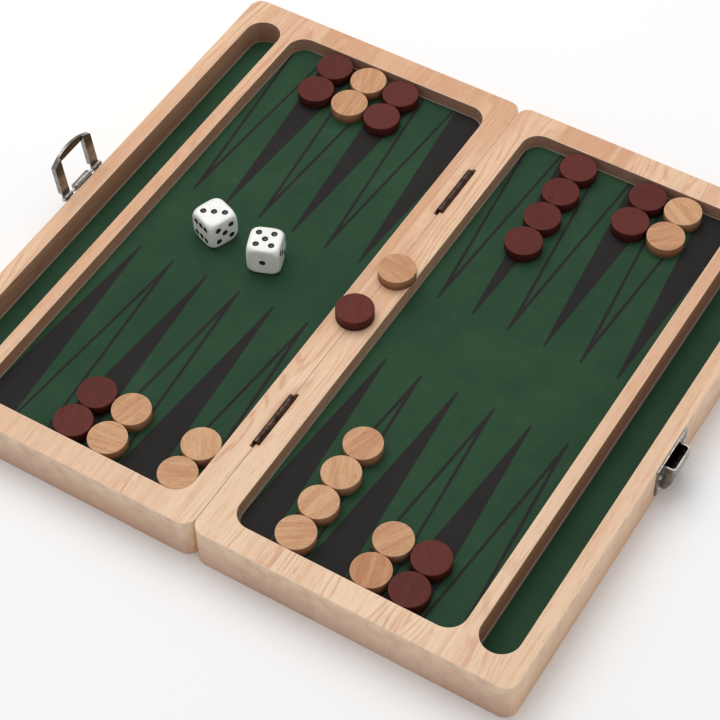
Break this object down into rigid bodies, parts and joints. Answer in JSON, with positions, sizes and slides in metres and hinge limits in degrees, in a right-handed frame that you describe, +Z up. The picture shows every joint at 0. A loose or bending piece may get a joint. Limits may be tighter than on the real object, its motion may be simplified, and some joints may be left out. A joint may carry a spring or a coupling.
{
  "type": "backgammon set",
  "caption": "Folding backgammon board with milled pockets, a snap clasp, wooden checkers and dice laid out in play.",
  "frame": {"origin": "under the middle of the hinged seam, on the table that the open set lies on", "axes": "+X across the seam from the half with the hasp to the half with the catch, +Y along the seam, +Z up"},
  "size_m": [0.3131, 0.28, 0.0421],
  "materials": {
    "board_wood": "satin varnish",
    "lining": "printed green with black points",
    "hinge_metal": "darkened",
    "screw_steel": "plated",
    "nail_steel": "bright",
    "clasp_steel": "bright nickel",
    "die_plastic": "gloss",
    "red_wood": "stained, satin",
    "natural_wood": "satin"
  },
  "bodies": {
    "left_half": {"left_board": "board_wood", "left_field_lining": "lining", "left_tray_lining": "lining", "front_hinge_left_leaf": "hinge_metal", "rear_hinge_left_leaf": "hinge_metal", "front_hinge_pin": "hinge_metal", "rear_hinge_pin": "hinge_metal", "left_hinge_screws": "screw_steel", "clasp_plate": "clasp_steel", "clasp_pin": "clasp_steel", "clasp_nails": "nail_steel"},
    "right_half": {"right_board": "board_wood", "right_field_lining": "lining", "right_tray_lining": "lining", "front_hinge_right_leaf": "hinge_metal", "rear_hinge_right_leaf": "hinge_metal", "right_hinge_screws": "screw_steel", "catch_plate": "clasp_steel", "catch_nails": "nail_steel"},
    "hasp": {"clasp_hasp": "clasp_steel"},
    "die_1": {"die_1": "die_plastic"},
    "die_2": {"die_2": "die_plastic"},
    "red_checker_01": {"red_checker_01": "red_wood"},
    "red_checker_02": {"red_checker_02": "red_wood"},
    "red_checker_03": {"red_checker_03": "red_wood"},
    "red_checker_04": {"red_checker_04": "red_wood"},
    "red_checker_05": {"red_checker_05": "red_wood"},
    "red_checker_06": {"red_checker_06": "red_wood"},
    "red_checker_07": {"red_checker_07": "red_wood"},
    "red_checker_08": {"red_checker_08": "red_wood"},
    "red_checker_09": {"red_checker_09": "red_wood"},
    "red_checker_10": {"red_checker_10": "red_wood"},
    "red_checker_11": {"red_checker_11": "red_wood"},
    "red_checker_12": {"red_checker_12": "red_wood"},
    "red_checker_13": {"red_checker_13": "red_wood"},
    "red_checker_14": {"red_checker_14": "red_wood"},
    "red_checker_15": {"red_checker_15": "red_wood"},
    "natural_checker_01": {"natural_checker_01": "natural_wood"},
    "natural_checker_02": {"natural_checker_02": "natural_wood"},
    "natural_checker_03": {"natural_checker_03": "natural_wood"},
    "natural_checker_04": {"natural_checker_04": "natural_wood"},
    "natural_checker_05": {"natural_checker_05": "natural_wood"},
    "natural_checker_06": {"natural_checker_06": "natural_wood"},
    "natural_checker_07": {"natural_checker_07": "natural_wood"},
    "natural_checker_08": {"natural_checker_08": "natural_wood"},
    "natural_checker_09": {"natural_checker_09": "natural_wood"},
    "natural_checker_10": {"natural_checker_10": "natural_wood"},
    "natural_checker_11": {"natural_checker_11": "natural_wood"},
    "natural_checker_12": {"natural_checker_12": "natural_wood"},
    "natural_checker_13": {"natural_checker_13": "natural_wood"},
    "natural_checker_14": {"natural_checker_14": "natural_wood"},
    "natural_checker_15": {"natural_checker_15": "natural_wood"}
  },
  "joints": [
    {"name": "case_fold", "type": "hinge", "parent": "left_half", "child": "right_half", "pos_m": [0, 0, 0.0221], "axis": [0, 1, 0], "range_deg": [-180, 0]},
    {"name": "clasp_swing", "type": "hinge", "parent": "left_half", "child": "hasp", "pos_m": [-0.152, -0.004, 0.0205], "axis": [0, -1, 0], "range_deg": [-7, 138]},
    {"name": "die_1_swing", "type": "hinge", "parent": "left_half", "child": "die_1", "pos_m": [-0.10794, 0.03958, 0.02045], "axis": [0.8226, 0.5686, 0], "range_deg": [-180, 0]},
    {"name": "die_2_swing", "type": "hinge", "parent": "left_half", "child": "die_2", "pos_m": [-0.09361, -0.05572, 0.02045], "axis": [-0.8226, 0.5686, 0], "range_deg": [-180, 0]},
    {"name": "hit_natural_swing", "type": "hinge", "parent": "left_half", "child": "natural_checker_15", "pos_m": [-0.016, 0.0189, 0.0216], "axis": [0, 1, 0], "range_deg": [-180, 0]},
    {"name": "hit_red_swing", "type": "hinge", "parent": "left_half", "child": "red_checker_15", "pos_m": [-0.016, -0.0103, 0.0216], "axis": [0, 1, 0], "range_deg": [-180, 0]},
    {"name": "lift_red_checker_01", "type": "slide", "parent": "left_half", "child": "red_checker_01", "axis": [0, 0, 1], "range_m": [0, 0.01]},
    {"name": "lift_red_checker_02", "type": "slide", "parent": "left_half", "child": "red_checker_02", "axis": [0, 0, 1], "range_m": [0, 0.01]},
    {"name": "lift_red_checker_03", "type": "slide", "parent": "left_half", "child": "red_checker_03", "axis": [0, 0, 1], "range_m": [0, 0.01]},
    {"name": "lift_red_checker_04", "type": "slide", "parent": "left_half", "child": "red_checker_04", "axis": [0, 0, 1], "range_m": [0, 0.01]},
    {"name": "lift_red_checker_05", "type": "slide", "parent": "left_half", "child": "red_checker_05", "axis": [0, 0, 1], "range_m": [0, 0.01]},
    {"name": "lift_red_checker_06", "type": "slide", "parent": "left_half", "child": "red_checker_06", "axis": [0, 0, 1], "range_m": [0, 0.01]},
    {"name": "lift_red_checker_07", "type": "slide", "parent": "right_half", "child": "red_checker_07", "axis": [0, 0, 1], "range_m": [0, 0.01]},
    {"name": "lift_red_checker_08", "type": "slide", "parent": "right_half", "child": "red_checker_08", "axis": [0, 0, 1], "range_m": [0, 0.01]},
    {"name": "lift_red_checker_09", "type": "slide", "parent": "right_half", "child": "red_checker_09", "axis": [0, 0, 1], "range_m": [0, 0.01]},
    {"name": "lift_red_checker_10", "type": "slide", "parent": "right_half", "child": "red_checker_10", "axis": [0, 0, 1], "range_m": [0, 0.01]},
    {"name": "lift_red_checker_11", "type": "slide", "parent": "right_half", "child": "red_checker_11", "axis": [0, 0, 1], "range_m": [0, 0.01]},
    {"name": "lift_red_checker_12", "type": "slide", "parent": "right_half", "child": "red_checker_12", "axis": [0, 0, 1], "range_m": [0, 0.01]},
    {"name": "lift_red_checker_13", "type": "slide", "parent": "right_half", "child": "red_checker_13", "axis": [0, 0, 1], "range_m": [0, 0.01]},
    {"name": "lift_red_checker_14", "type": "slide", "parent": "right_half", "child": "red_checker_14", "axis": [0, 0, 1], "range_m": [0, 0.01]},
    {"name": "lift_natural_checker_01", "type": "slide", "parent": "left_half", "child": "natural_checker_01", "axis": [0, 0, 1], "range_m": [0, 0.01]},
    {"name": "lift_natural_checker_02", "type": "slide", "parent": "left_half", "child": "natural_checker_02", "axis": [0, 0, 1], "range_m": [0, 0.01]},
    {"name": "lift_natural_checker_03", "type": "slide", "parent": "left_half", "child": "natural_checker_03", "axis": [0, 0, 1], "range_m": [0, 0.01]},
    {"name": "lift_natural_checker_04", "type": "slide", "parent": "left_half", "child": "natural_checker_04", "axis": [0, 0, 1], "range_m": [0, 0.01]},
    {"name": "lift_natural_checker_05", "type": "slide", "parent": "left_half", "child": "natural_checker_05", "axis": [0, 0, 1], "range_m": [0, 0.01]},
    {"name": "lift_natural_checker_06", "type": "slide", "parent": "left_half", "child": "natural_checker_06", "axis": [0, 0, 1], "range_m": [0, 0.01]},
    {"name": "lift_natural_checker_07", "type": "slide", "parent": "right_half", "child": "natural_checker_07", "axis": [0, 0, 1], "range_m": [0, 0.01]},
    {"name": "lift_natural_checker_08", "type": "slide", "parent": "right_half", "child": "natural_checker_08", "axis": [0, 0, 1], "range_m": [0, 0.01]},
    {"name": "lift_natural_checker_09", "type": "slide", "parent": "right_half", "child": "natural_checker_09", "axis": [0, 0, 1], "range_m": [0, 0.01]},
    {"name": "lift_natural_checker_10", "type": "slide", "parent": "right_half", "child": "natural_checker_10", "axis": [0, 0, 1], "range_m": [0, 0.01]},
    {"name": "lift_natural_checker_11", "type": "slide", "parent": "right_half", "child": "natural_checker_11", "axis": [0, 0, 1], "range_m": [0, 0.01]},
    {"name": "lift_natural_checker_12", "type": "slide", "parent": "right_half", "child": "natural_checker_12", "axis": [0, 0, 1], "range_m": [0, 0.01]},
    {"name": "lift_natural_checker_13", "type": "slide", "parent": "right_half", "child": "natural_checker_13", "axis": [0, 0, 1], "range_m": [0, 0.01]},
    {"name": "lift_natural_checker_14", "type": "slide", "parent": "right_half", "child": "natural_checker_14", "axis": [0, 0, 1], "range_m": [0, 0.01]}
  ],
  "couplings": [
    {"joint": "die_1_swing", "follows": "case_fold", "ratio": 1},
    {"joint": "die_2_swing", "follows": "case_fold", "ratio": 1},
    {"joint": "hit_natural_swing", "follows": "case_fold", "ratio": 1},
    {"joint": "hit_red_swing", "follows": "case_fold", "ratio": 1}
  ]
}
